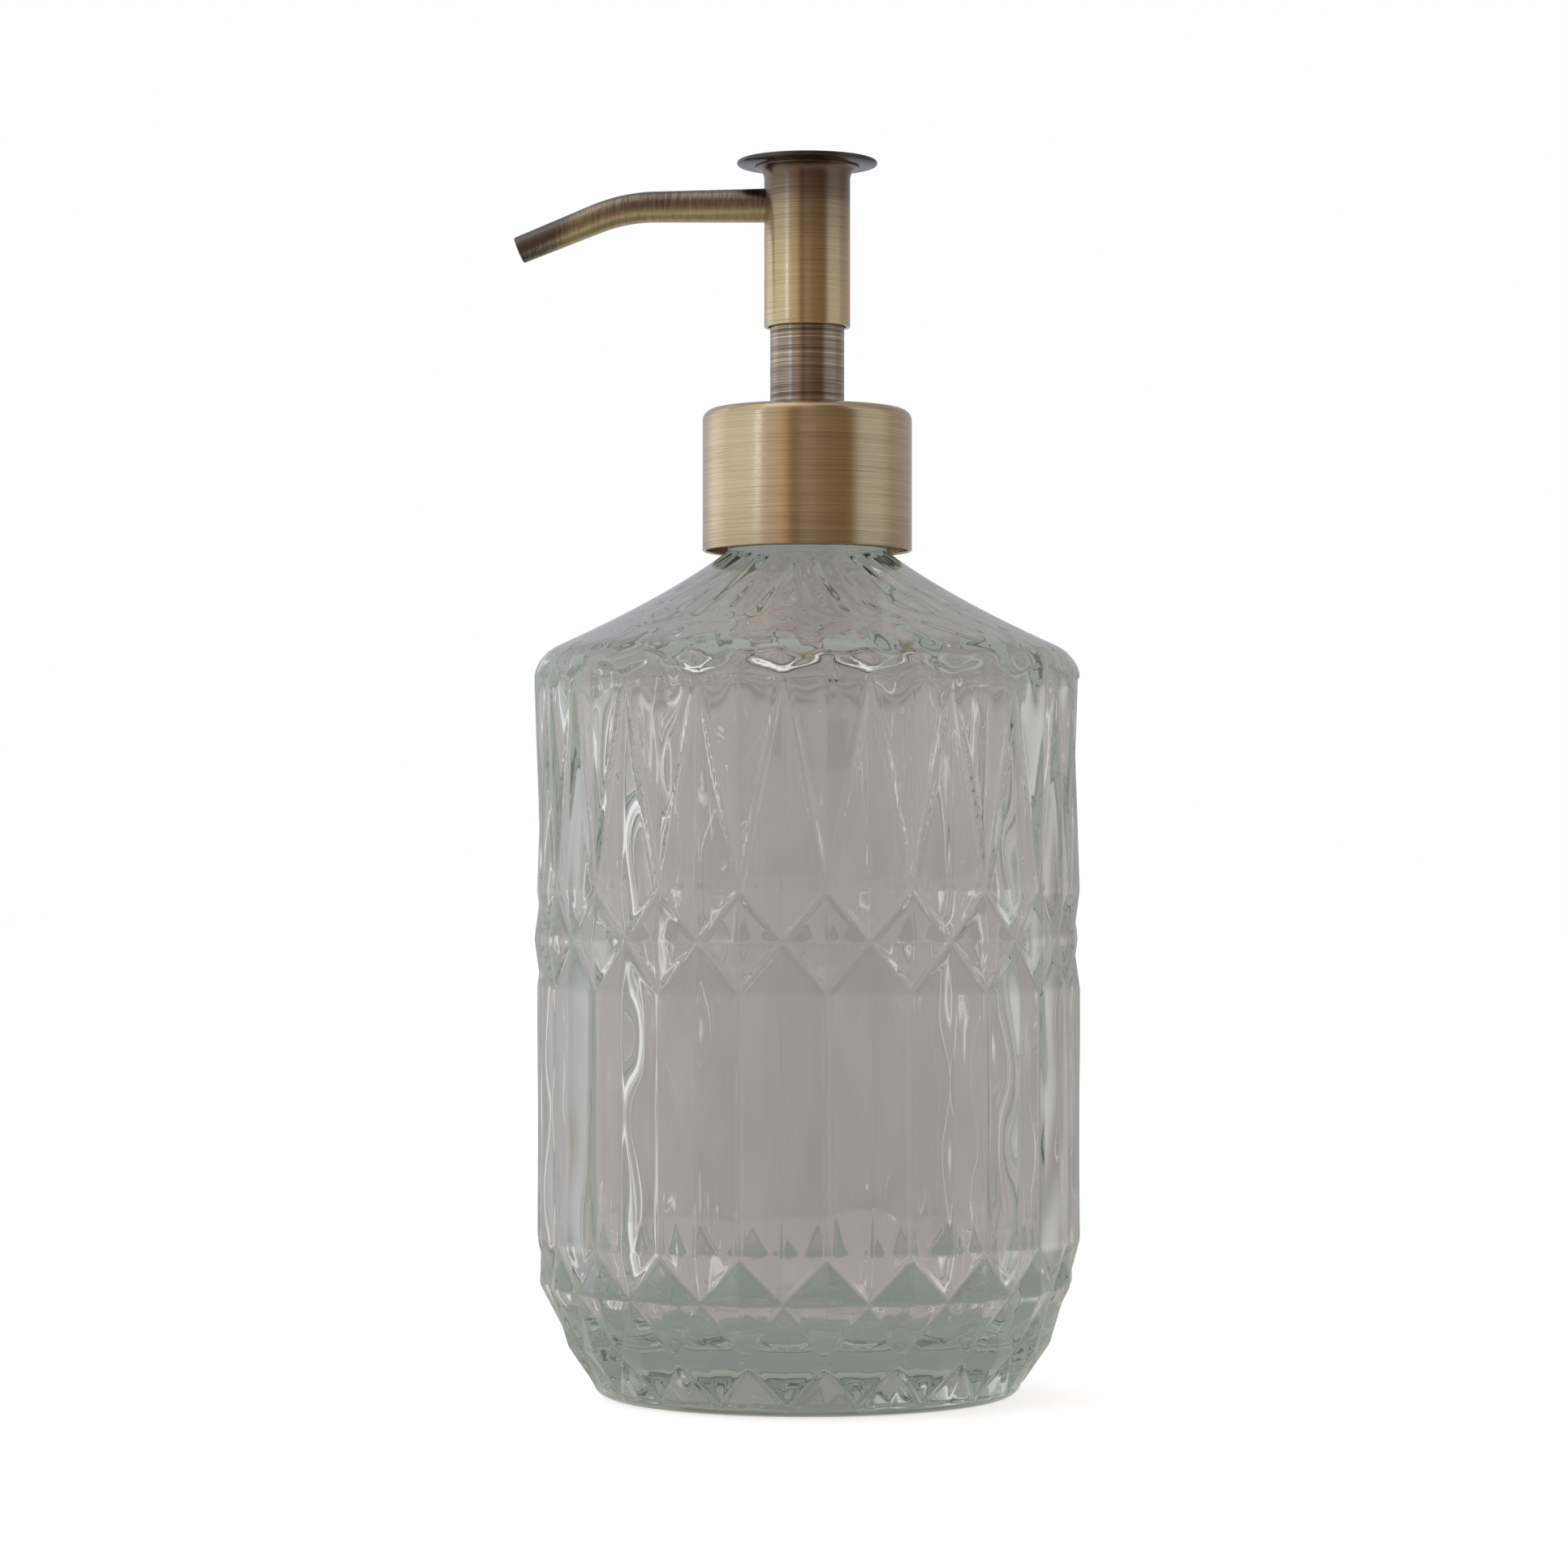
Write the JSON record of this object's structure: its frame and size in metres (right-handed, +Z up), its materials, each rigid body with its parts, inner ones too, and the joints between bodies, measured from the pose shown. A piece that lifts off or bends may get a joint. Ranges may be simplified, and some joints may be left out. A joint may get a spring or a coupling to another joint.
{
  "type": "soap pump dispenser",
  "caption": "Pressed-glass soap bottle with a metal-clad lotion pump: a disc pressed from above drives a piston and soap leaves a long bent spout.",
  "frame": {"origin": "centre of the bottle's flat base, on the surface it stands on", "axes": "+Z up along the bottle's axis, the spout points to -X"},
  "size_m": [0.0904, 0.0868, 0.1962],
  "materials": {
    "bottle_glass": "clear pressed glass, faintly green where thick",
    "aged_brass": "brushed antique brass with dark patina",
    "clear_plastic": "clear polypropylene",
    "natural_plastic": "natural polypropylene",
    "seal_rubber": "black elastomer"
  },
  "bodies": {
    "bottle": {"bottle": "bottle_glass", "neck_gasket": "seal_rubber"},
    "pump_body": {"pump_housing": "clear_plastic", "chaplet": "natural_plastic", "ball_cage": "clear_plastic", "dip_tube": "clear_plastic", "guide_tube": "aged_brass", "stem_wiper": "seal_rubber", "return_spring": "clear_plastic"},
    "closure": {"closure_nut": "natural_plastic", "cap_shell": "aged_brass"},
    "piston": {"piston": "natural_plastic"},
    "head": {"head_sleeve": "aged_brass", "head_core": "natural_plastic", "press_disc": "aged_brass", "spout": "aged_brass", "spout_liner": "natural_plastic", "spout_seal": "seal_rubber", "piston_stem": "natural_plastic", "stem_plunger": "natural_plastic"},
    "check_ball": {"check_ball": "clear_plastic"}
  },
  "joints": [
    {"name": "pump_rise", "type": "slide", "parent": "bottle", "child": "pump_body", "axis": [0, 0, 1], "range_m": [0, 0.00423]},
    {"name": "closure_turn", "type": "hinge", "parent": "pump_body", "child": "closure", "pos_m": [0, 0, 0.145], "axis": [0, 0, 1], "range_deg": [0, 360]},
    {"name": "head_press", "type": "slide", "parent": "pump_body", "child": "piston", "axis": [0, 0, -1], "range_m": [0, 0.0122], "stiffness_N_per_m": 500, "springref_m": -0.008, "deforming": ["return_spring"]},
    {"name": "head_swivel", "type": "hinge", "parent": "piston", "child": "head", "pos_m": [0, 0, 0.18], "axis": [0, 0, 1], "continuous": true},
    {"name": "ball_lift", "type": "slide", "parent": "pump_body", "child": "check_ball", "axis": [0, 0, 1], "range_m": [0, 0.0015]}
  ],
  "couplings": [
    {"joint": "closure_turn", "follows": "pump_rise", "rad_per_m": 1484.3}
  ]
}
